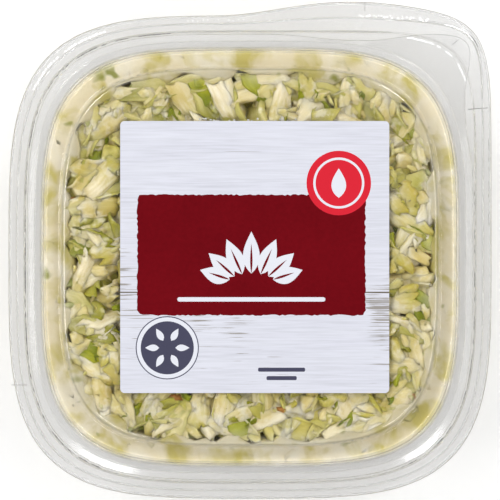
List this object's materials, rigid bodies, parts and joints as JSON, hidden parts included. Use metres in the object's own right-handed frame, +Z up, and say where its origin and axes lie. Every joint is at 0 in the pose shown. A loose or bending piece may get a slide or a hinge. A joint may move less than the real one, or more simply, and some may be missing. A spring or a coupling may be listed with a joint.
{
  "type": "clear tub of coleslaw",
  "caption": "Shut clear plastic tub of chopped coleslaw: rounded square tub, shut lid with a lifting tab at one corner, and a square paper label on the lid.",
  "frame": {"origin": "middle of the tub's flat base, on the surface it stands on", "axes": "+Z up out of the lid; +Y towards the label's top edge, away from a person who reads it; +X towards the label's right edge, so the lid's tab is at the corner between +X and +Y"},
  "size_m": [0.1442, 0.1483, 0.0372],
  "materials": {
    "clear_tub": "clear, glossy, thin thermoformed sheet",
    "salad": "wet chopped cabbage in a thin creamy dressing",
    "clear_lid": "clear, glossy, thin thermoformed sheet",
    "label_paper": "smooth coated paper, printed in pale boards, dark red, bright red and slate"
  },
  "bodies": {
    "root": {"tub": "clear_tub", "tub_flange": "clear_tub", "coleslaw": "salad", "lid": "clear_lid", "label": "label_paper"}
  },
  "joints": []
}
